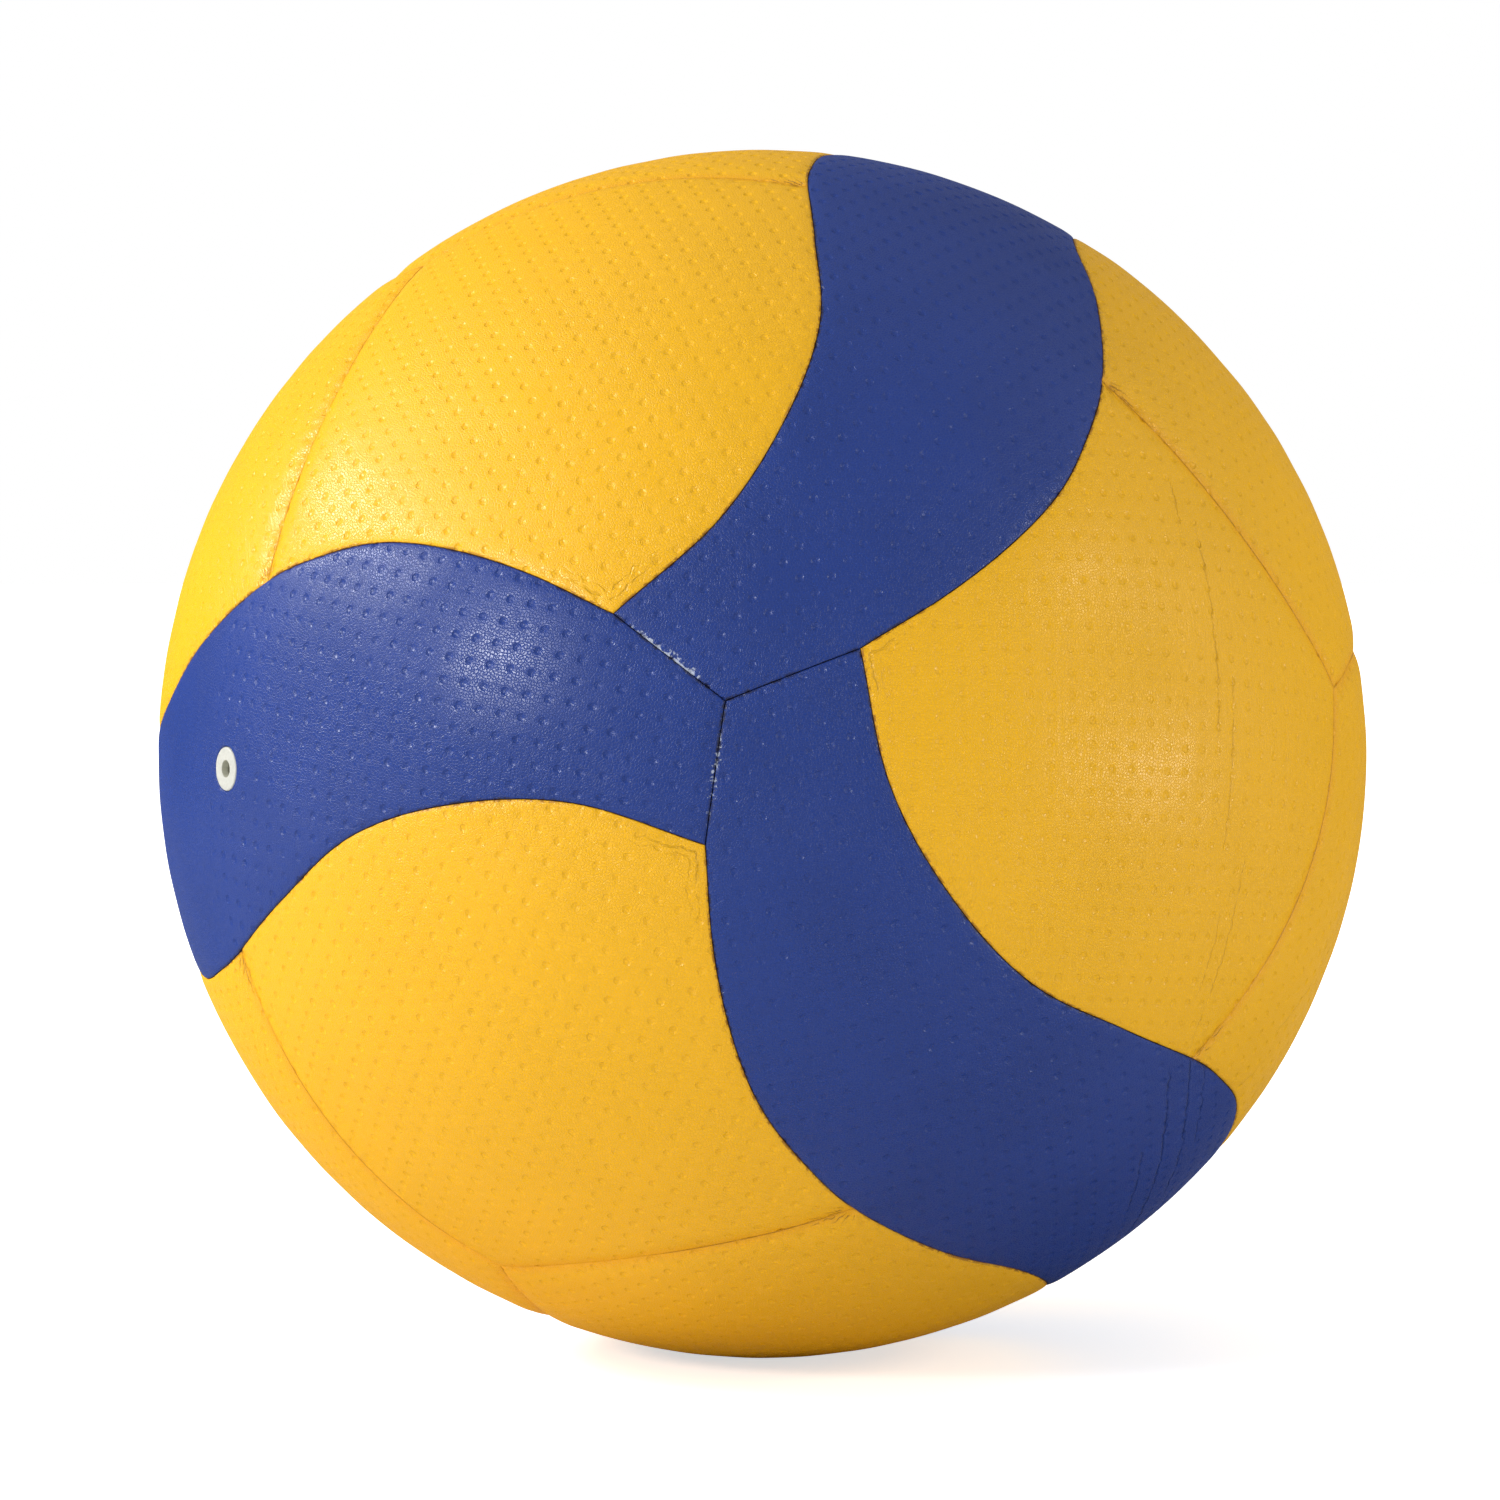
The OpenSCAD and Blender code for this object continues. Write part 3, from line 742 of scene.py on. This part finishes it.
def leather(name, colour, worn, edge_shade, valley_shade, creases, sizes):
    """Dimpled synthetic leather: bowls on a square lattice, a pebbled grain, creases, and painted shade at the seams'
    edges.

    Heights, and places on the maps, are in millimetres. The noise runs over the place in metres.
    """
    f = Finish(name)
    seam, valley, fold, tip, scuff, dent = (f.attribute(n) for n in FIELDS)

    # Dimples: a parabola, less part of the raised cosine that the mesh has already.
    rows = f.map("dimples")
    cell = f.vector("FRACTION", f.vector("ADD", rows, (0.5, 0.5, 0)))
    away = f.vector("LENGTH", f.vector("SUBTRACT", cell, (0.5, 0.5, 0))).out("Value")
    away = away * (2 * sizes.pitch / sizes.dimple)
    bowl = (1 - away * away).most(0.0) - 0.27 * (1 + ((away / DIMPLE_REACH).least(1.0) * np.pi).math("COSINE"))

    # Grain: pebbles in the cells of a bent Voronoi pattern, faint streaks, and noise of several sizes.
    flat = f.vector("SCALE", rows, scale=sizes.pitch / MM)
    bent = f.vector("ADD", flat, f.vector("SCALE", f.noise(0.8, place=flat).out("Color"), scale=0.7))
    cells = {"voronoi_dimensions": "2D", "feature": "DISTANCE_TO_EDGE"}
    pebble = f.add("ShaderNodeTexVoronoi", {"Vector": bent, "Scale": 1.9}, **cells).rise(0.03, 0.24)
    streaks = f.noise(1.0, 3.0, 0.55, f.vector("MULTIPLY", flat, (1.5, 0.25, 0))) - 0.5
    streaks = streaks * f.noise(30.0, 1.0).rise(0.42, 0.62)
    fine, broad, mottle = f.noise(4200.0, 2.0, 0.6), f.noise(55.0, 3.0), f.noise(420.0)
    tight = 0.55 + 0.9 * (f.noise(45.0, 1.0) - 0.5)

    # Wrinkles beside the valleys, curls at a yellow's tip, gathers along a band's seam, and creases.
    ridge = f.noise(330.0, 1.5).ridge()
    wrinkle = ridge * ridge * fold.least(1.0)
    sway = f.drift(300.0, 2.0, 2.4)
    curl = (seam + sway - 1.7).size().rise(0.35, 0.0) + 0.6 * (seam + 1.6 * sway - 3.1).size().rise(0.3, 0.0)
    curl = curl * tip.rise(16.0, 5.0) * seam.rise(0.2, 0.8) * f.noise(380.0).rise(0.38, 0.56)
    gather = f.noise(330.0, 1.0).ridge() * seam.rise(3.0, 0.8) * seam.rise(0.1, 0.4)
    gather = gather * f.noise(36.0, 1.0).rise(0.45, 0.62)
    parting = valley.rise(0.24, 0.06) * (0.15 + 0.85 * f.noise(24.0, 1.0).rise(0.4, 0.58))
    deep, crease_shade = creased(f, creases)
    crack = cracked(f)
    height = pebble * tight * 0.06 + fine * 0.005 + mottle * 0.02 - bowl * (sizes.dimple_depth / MM) * dent
    height = height + streaks * 0.2 - deep - wrinkle * 0.09 - curl * 0.2 - gather * 0.08
    height = height - crack * 0.16 - parting * 0.08

    # Colour: painted shade in the grain's gaps, folds, creases, cracks and seams, painted shade and bounce light in
    # the valleys, a broken edge line, and specks of glue.
    # Painted shade in the seams: the walls down every seam, and the skin's last tenth of a millimetre by a band's
    # seam, take the edge colour.
    edge = seam.rise(0.14, 0.05) * (0.4 + 0.6 * f.noise(600.0).rise(0.4, 0.55))
    # A broken line in the edge colour within half a millimetre of a band's seam.
    edge_line = seam.rise(0.5, 0.25) * f.noise(900.0, 3.0, 0.7).rise(0.44, 0.56)
    edge_line = edge_line * f.noise(60.0, 1.0).rise(0.36, 0.56)
    # Painted shade along the creases, the fork's cracks and the partings between yellows, together with the broken
    # edge line.
    shade_and_edge_line = (0.3 * crease_shade.least(1.0)).most(0.6 * crack).most(0.75 * edge_line).most(0.5 * parting)
    specks = (f.noise(1300.0, 3.0, 0.6) + scuff * 0.26).rise(0.64, 0.76) * scuff.rise(0.05, 0.3)
    # Painted shade in the grain's gaps and in the wrinkles, curls and gathers, on a broad random tone.
    shade = 0.96 + 0.08 * broad - 0.09 * (1 - pebble) - 0.06 * wrinkle - 0.08 * curl - 0.06 * gather
    tone = f.mix(broad.rise(0.35, 0.65), (*colour, 1), (*worn, 1))
    tone = f.vector("SCALE", tone, scale=shade)
    # Painted shade and bounce light in a valley between yellows: a deeper orange.
    layers = ((valley.rise(2.4, 0.2) * 0.35, valley_shade), (shade_and_edge_line, edge_shade), (edge, edge_shade), (specks * 0.85, GLUE))
    for share, over in layers:
        tone = f.mix(share, tone, (*over, 1))
    rough = 0.51 + 0.10 * (mottle - 0.5) - 0.25 * pebble + 0.3 * edge + 0.3 * specks
    return f.surface(tone, rough, height, matte_limb=0.6, Specular_IOR_Level=0.39)


def rubber(name, colour, dusty, roughness, bore=None):
    """Moulded rubber: an even colour, a fine matte skin and soft mould waves. Inside a bore it is a darker grey."""
    f = Finish(name)
    dust, wave = f.noise(2400.0, 3.0), f.noise(260.0)
    tone = f.mix(dust.rise(0.35, 0.7), (*colour, 1), (*dusty, 1))
    if bore:
        off_axis = f.vector("LENGTH", f.vector("MULTIPLY", f.place, (0, 1 / MM, 1 / MM))).out("Value")
        tone = f.mix(off_axis.rise(bore, bore - 0.2), tone, (*BORE_GREY, 1))
    return f.surface(tone, roughness + 0.12 * (wave - 0.5), dust * 0.012 + wave * 0.05)


def foam_finish():
    """Closed-cell foam: small round cells with darker walls."""
    f = Finish("closed_cell_foam")
    cells = f.add("ShaderNodeTexVoronoi", {"Vector": f.place, "Scale": 1400.0})
    return f.surface(f.mix(cells.rise(0.2, 0.7), (0.78, 0.77, 0.73, 1), (0.60, 0.59, 0.55, 1)), 0.9)


def thread_finish():
    """Wound thread: three runs of fine parallel strands that cross at an angle, each on top in turn."""
    f = Finish("wound_thread")
    patchy = f.noise(70.0)
    strands = []
    for way in ((0.8, 0.5, 0.33), (-0.4, 0.85, 0.34), (0.3, -0.45, 0.84)):
        run = f.vector("DOT_PRODUCT", f.place, way).out("Value") * 5200.0
        strands.append(run.math("SINE") * 0.5 + 0.5)
    over, under = patchy.rise(0.42, 0.48), patchy.rise(0.55, 0.6)
    # Painted shade: the colour is light on a strand's crest and darker between strands.
    lay = strands[0] * (1 - over) + strands[1] * over * (1 - under) + strands[2] * under
    return f.surface(f.mix(lay, (0.42, 0.40, 0.34, 1), (0.86, 0.84, 0.76, 1)), 0.8)


def painted(piece, material):
    piece.data.materials.clear()
    piece.data.materials.append(material)


def placed(name, mesh, material, node):
    """Shows a new piece in the place of a solid, on the ball's one body."""
    piece = bpy.data.objects.new(name, mesh)
    bpy.context.scene.collection.objects.link(piece)
    painted(piece, material)
    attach(piece, "root")
    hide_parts(node)


def number(name, description, default, **more):
    return bpy.props.FloatProperty(name=name, description=description, default=default, precision=4, **more)


def length(*words_and_default):
    return number(*words_and_default, min=0.0, unit="LENGTH")


def power(*words_and_default):
    return number(*words_and_default, min=0.0, subtype="POWER")


def colour(name, description, default):
    more = {"size": 3, "min": 0.0, "max": 1.0, "subtype": "COLOR"}
    return bpy.props.FloatVectorProperty(name=name, description=description, default=default, **more)


class VB_CoverSizes(bpy.types.PropertyGroup):
    """Sizes and colours of the leather cover."""

    diameter: length("Diameter", "Diameter of the ball", round(solid_box[1].y - solid_box[0].y, 3))
    thickness: length("Thickness", "Thickness of a panel", 1.4 * MM)
    gap: length("Seam gap", "Gap beside a band", 0.07 * MM)
    crack: length("Seam crack", "Gap between two yellows", 0.03 * MM)
    flat: length("Rest flat", "Depth of the flat that the ball rests on", 0.5 * MM)
    roll: length("Edge roll", "Width of the rounded edge", 0.5 * MM)
    fall: length("Edge fall", "Width of the soft slope towards a band's seam", 2.6 * MM)
    valley: length("Valley", "Width of the soft slope towards a seam between two yellows", 5 * MM)
    valley_depth: length("Valley depth", "Depth of that slope at the seam", 0.65 * MM)
    spacing: length("Mesh spacing", "Distance between the grid's lines", 0.48 * MM)
    pitch: length("Dimple pitch", "Distance between two dimples of a row", 3.83 * MM)
    dimple: length("Dimple width", "Diameter of a dimple", 1.48 * MM)
    dimple_depth: length("Dimple depth", "Depth of a dimple", 0.22 * MM)
    blue: colour("Blue", "Colour of the bands", (0.010, 0.037, 0.217))
    yellow: colour("Yellow", "Colour of the other panels", (0.87, 0.455, 0.004))


class VB_ValveSizes(bpy.types.PropertyGroup):
    """Sizes of the valve."""

    head: length("Plug head", "Diameter of the plug's head", 7.3 * MM)
    mouth: length("Needle mouth", "Diameter of the funnel for the needle", 2.9 * MM)
    channel: length("Needle channel", "Diameter of the needle's channel", 2.0 * MM)
    wall: length("Rim wall", "Wall of the housing round the plug", 0.8 * MM)
    recess: length("Plug recess", "Depth of the plug's face under the ball's surface", 0.2 * MM)
    clearance: length("Clearance", "Gap round the plug", 0.1 * MM)


class VB_StageSizes(bpy.types.PropertyGroup):
    """Camera and light of the studio."""

    distance: length("Camera distance", "Distance from the ball's centre", 0.9975)
    azimuth: number("Azimuth", "Side from which the camera looks", np.radians(-32.26), subtype="ANGLE")
    elevation: number("Elevation", "Height of the camera above the horizon", np.radians(2.52), subtype="ANGLE")
    lens: number("Lens", "Focal length in millimetres on a 36 mm sensor", 137.05)
    key: power("Key light", "Power of the large lamp on the left", 6.6)
    back: power("Back light", "Power of the lamp behind on the left", 11.8)
    side: power("Side light", "Power of the lamp on the right", 1.95)
    low: power("Low light", "Power of the low lamp on the right", 3.3)
    fill: number("Fill", "Strength of the light from all round", 0.39, min=0.0)


class VB_OT_blue_panels(bpy.types.Operator):
    """Make the six blue bands"""

    bl_idname = "volleyball.blue_panels"
    bl_label = "Blue bands"

    @staticmethod
    def pressed(flat):
        """Share of the dimples' depth where the leather was pressed smooth, ahead of the valve and round it."""
        ahead, aside = flat[..., 0], -flat[..., 1]
        smooth = np.clip((ahead - 2 + 0.25 * aside) / 7, 0, 1) + np.clip(1.6 - np.hypot(ahead, aside) / 5.2, 0, 1)
        return 0.5 + 0.5 * np.cos(np.pi * np.clip(smooth, 0, 1))

    def execute(self, context):
        sizes, valve = context.scene.volleyball_cover, context.scene.volleyball_valve
        worn = [c * 1.05 for c in sizes.blue]
        skin = leather("blue_leather", sizes.blue, worn, BLUE_EDGE_SHADE, sizes.blue, BLUE_CREASES, sizes)
        panel, holed = (Panel(*blue_sides(), MIDDLE, AHEAD, BLUE_GRID, sizes) for _ in range(2))
        holed.open_hole((valve.head / 2 + valve.clearance) / MM)
        for k, node in enumerate(BLUE_NODES):
            kind, kept_dimples = (panel, 1.0) if k else (holed, self.pressed(holed.flat))
            mesh = kind.build(
                node + "_leather", carried(BLUE_COPIES[k]), BLUE_DIMPLES[k], BLUE_ROWS, BLUE_CREASED.get(k + 1),
                BLUE_CREASE_WAY, BLUE_SPECKS.get(k + 1, OTHER_SPECKS), BLUE_SEED + k, kept_dimples,
            )
            placed(node + "_leather", mesh, skin, node)
        return {"FINISHED"}


class VB_OT_yellow_panels(bpy.types.Operator):
    """Make the twelve yellow panels"""

    bl_idname = "volleyball.yellow_panels"
    bl_label = "Yellow panels"

    def execute(self, context):
        sizes = context.scene.volleyball_cover
        sides, tight, valleys = yellow_sides()
        centre = unit(sum(side[0] for side in sides))
        worn = [c * 0.98 for c in sizes.yellow]
        skin = leather("yellow_leather", sizes.yellow, worn, YELLOW_EDGE_SHADE, YELLOW_VALLEY_SHADE, YELLOW_CREASES, sizes)
        panel = Panel(sides, tight, valleys, centre, YELLOW_CORNER - sides[0][0], YELLOW_GRID, sizes)
        for n, node in enumerate(YELLOW_NODES):
            mesh = panel.build(
                node + "_leather", carried(n), YELLOW_DIMPLES[n], YELLOW_ROWS, YELLOW_CREASED.get(n + 1), None, None,
                YELLOW_SEED + n,
            )
            placed(node + "_leather", mesh, skin, node)
        return {"FINISHED"}


class VB_OT_valve(bpy.types.Operator):
    """Make the valve's plug and its rubber housing"""

    bl_idname = "volleyball.valve"
    bl_label = "Valve"

    def execute(self, context):
        s, cover = context.scene.volleyball_valve, context.scene.volleyball_cover
        radius, head, mouth, channel = (size / MM / 2 for size in (cover.diameter, s.head, s.mouth, s.channel))
        gap, face = s.clearance / MM, radius - s.recess / MM
        plug = rounded([
            [channel, face - FUNNEL_END, 0.2], [mouth, face, 0.22], [head, face, 0.3],
            [head, face - HEAD_END, 0.2], [NECK, face - HEAD_END, 0.2], [NECK, face - NECK_END, 0.3],
            [BULB, face - BULB_START, 0.6], [BULB, face - BULB_END, 0.8], [TIP, face - TIP_END, 0.5],
            [CORE, face - TIP_END, 0], [CORE, face - CHANNEL_END, 0], [channel, face - CHANNEL_END, 0],
        ])
        ivory = rubber("ivory_rubber", IVORY, IVORY_DUST, 0.5, mouth + 0.1)
        name = "valve_plug_rubber"
        placed(name, revolve(name, plug), ivory, "valve_plug")

        # The housing: the floor with its vent, the plug's seat, the sleeve, and the flange's two arcs.
        seat = face - gap
        inner, outer = head + gap, head + gap + s.wall / MM
        top, end = radius - cover.thickness / MM - SLEEVE_GAP, face - TIP_END - VALVE_FLOOR
        reach = np.linspace(outer, FLANGE_REACH, 9)
        over, under = (np.stack([reach, np.sqrt((radius - d) ** 2 - reach**2)], 1) for d in FLANGE_DEPTHS)
        bore = rounded([
            [VENT, end, 0], [VENT, seat - TIP_END, 0], [TIP + gap, seat - TIP_END, 0],
            [BULB + gap, seat - BULB_END, 0], [BULB + gap, seat - BULB_START, 0], [NECK + gap, seat - NECK_END, 0],
            [NECK + gap, seat - HEAD_END, 0], [inner, seat - HEAD_END, 0.1], [inner, top, 0.16],
            [outer, top, 0.2], [*over[0], 0],
        ])
        housing = np.vstack([bore[:-1], over, under[::-1], [[outer, end]]])
        black = rubber("valve_rubber", BLACK, BLACK_DUST, 0.6)
        name = "valve_housing_rubber"
        placed(name, revolve(name, housing), black, "valve_housing")
        return {"FINISHED"}


class VB_OT_inner_layers(bpy.types.Operator):
    """Give the foam, the carcass, the winding and the bladder their finishes"""

    bl_idname = "volleyball.inner_layers"
    bl_label = "Inner layers"

    def execute(self, context):
        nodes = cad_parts
        foam = foam_finish()
        for node in [*BLUE_NODES, *YELLOW_NODES]:
            painted(nodes[node.replace("panel", "panel_foam")], foam)
        painted(nodes["thread_winding"], thread_finish())
        for node, low, high in (("carcass_rubber", 0.03, 0.045), ("bladder", 0.02, 0.03)):
            f = Finish(node + "_finish")
            tone = f.mix(f.noise(900.0, 3.0), (low, low, low * 1.05, 1), (high, high, high * 1.05, 1))
            painted(nodes[node], f.surface(tone, 0.62))
        return {"FINISHED"}


class VB_OT_stage(bpy.types.Operator):
    """Set up the floor, the lamps and the camera"""

    bl_idname = "volleyball.stage"
    bl_label = "Studio"

    @staticmethod
    def linked(name, data):
        made = bpy.data.objects.new(name, data)
        bpy.context.scene.collection.objects.link(made)
        return made

    def lamp(self, name, power, size, at):
        """A rectangular lamp that shines at the ball's centre."""
        light = bpy.data.lights.new(name, "AREA")
        light.energy, light.shape, light.size, light.size_y = power, "RECTANGLE", *size
        lamp = self.linked(name, light)
        lamp.location = at
        z = unit(at)
        x = unit(np.cross([0, 0, 1.0], z))
        lamp.rotation_euler = Matrix(np.stack([x, np.cross(z, x), z], 1)).to_euler()

    def floor(self, low):
        """A white floor that glows a little for the camera, and most at a distance."""
        floor = bpy.data.meshes.new("floor")
        turn = np.linspace(0, 2 * np.pi, FLOOR_SIDES + 1)[:-1]
        rim = np.stack([FLOOR_REACH * np.cos(turn), FLOOR_REACH * np.sin(turn), np.full(FLOOR_SIDES, low)], 1)
        floor.from_pydata(rim, [], [list(range(FLOOR_SIDES))])
        ground = self.linked("floor", floor)
        f = Finish("white_floor")
        path = f.add("ShaderNodeLightPath")
        far = f.vector("LENGTH", f.place).out("Value").rise(0.25, 1.0)
        tone = f.mix(f.noise(3.0), (0.91, 0.91, 0.91, 1), (0.93, 0.93, 0.93, 1))
        tone = f.vector("SCALE", tone, scale=1 - 0.35 * path.out("Is Glossy Ray"))
        diffuse = f.add("ShaderNodeBsdfDiffuse", {"Color": tone})
        strength = path.out("Is Camera Ray") * (0.62 + 0.5 * far)
        glow = f.add("ShaderNodeEmission", {"Color": (1, 1, 1, 1), "Strength": strength})
        both = f.add("ShaderNodeAddShader", {0: diffuse, 1: glow})
        f.add("ShaderNodeOutputMaterial", {"Surface": both})
        painted(ground, f.owner)

    def room(self, scene, fill):
        """A white room: full strength for the camera, dim for mirrored rays, and the fill light for the rest."""
        f = Finish("white_room", "worlds")
        scene.world = f.owner
        path = f.add("ShaderNodeLightPath")
        high = f.split(f.add("ShaderNodeTexCoord").out("Generated")).out("Z").rise(0.02, 0.3)
        mirrored = path.out("Is Glossy Ray").most(path.out("Is Transmission Ray")) * (0.36 - 0.31 * high)
        strength = (fill * (0.9 + 0.45 * high)).most(path.out("Is Camera Ray").most(mirrored))
        sky = f.add("ShaderNodeBackground", {"Color": (1, 1, 1, 1), "Strength": strength})
        f.add("ShaderNodeOutputWorld", {"Surface": sky})

    def execute(self, context):
        scene, s, cover = context.scene, context.scene.volleyball_stage, context.scene.volleyball_cover
        scene.view_settings.view_transform = "Standard"
        a, e = s.azimuth, s.elevation
        back = np.array([np.sin(a) * np.cos(e), -np.cos(a) * np.cos(e), np.sin(e)])
        right = np.array([np.cos(a), np.sin(a), 0.0])
        up = np.cross(back, right)
        camera = self.linked("camera", bpy.data.cameras.new("camera"))
        camera.data.lens, camera.data.sensor_width = s.lens, 36.0
        camera.data.clip_start, camera.data.clip_end = 0.01, 100
        camera.location = back * s.distance + right * CAMERA_SHIFT[0] + up * CAMERA_SHIFT[1]
        camera.rotation_euler = Matrix(np.stack([right, up, back], 1)).to_euler()
        scene.camera = camera
        for name, (size, turn, rise) in LAMPS.items():
            t, r = np.radians([turn, rise])
            way = right * np.sin(t) * np.cos(r) + up * np.sin(r) + back * np.cos(t) * np.cos(r)
            self.lamp(name, getattr(s, name), size, way * LAMP_DISTANCE)
        self.floor(cover.flat - cover.diameter / 2)
        self.room(scene, s.fill)
        return {"FINISHED"}


class VB_PT_panel(bpy.types.Panel):
    """Lists the ball's sizes and operators"""

    bl_idname = "VB_PT_panel"
    bl_label = "Volleyball"
    bl_space_type = "VIEW_3D"
    bl_region_type = "UI"
    bl_category = "Volleyball"

    def draw(self, context):
        for name in GROUPS:
            group, box = getattr(context.scene, name), self.layout.box()
            for size in group.__annotations__:
                box.prop(group, size)
        for operator in OPERATORS:
            self.layout.operator(operator.bl_idname)


GROUPS = {"volleyball_cover": VB_CoverSizes, "volleyball_valve": VB_ValveSizes, "volleyball_stage": VB_StageSizes}
OPERATORS = (VB_OT_stage, VB_OT_inner_layers, VB_OT_valve, VB_OT_blue_panels, VB_OT_yellow_panels)


def register():
    for made in (*GROUPS.values(), *OPERATORS, VB_PT_panel):
        bpy.utils.register_class(made)
    for name, group in GROUPS.items():
        setattr(bpy.types.Scene, name, bpy.props.PointerProperty(type=group))


def unregister():
    for name in GROUPS:
        delattr(bpy.types.Scene, name)
    for made in (VB_PT_panel, *OPERATORS, *GROUPS.values()):
        bpy.utils.unregister_class(made)


def main():
    register()
    for operator in OPERATORS:
        family, name = operator.bl_idname.split(".")
        getattr(getattr(bpy.ops, family), name)()


if __name__ == "__main__":
    main()
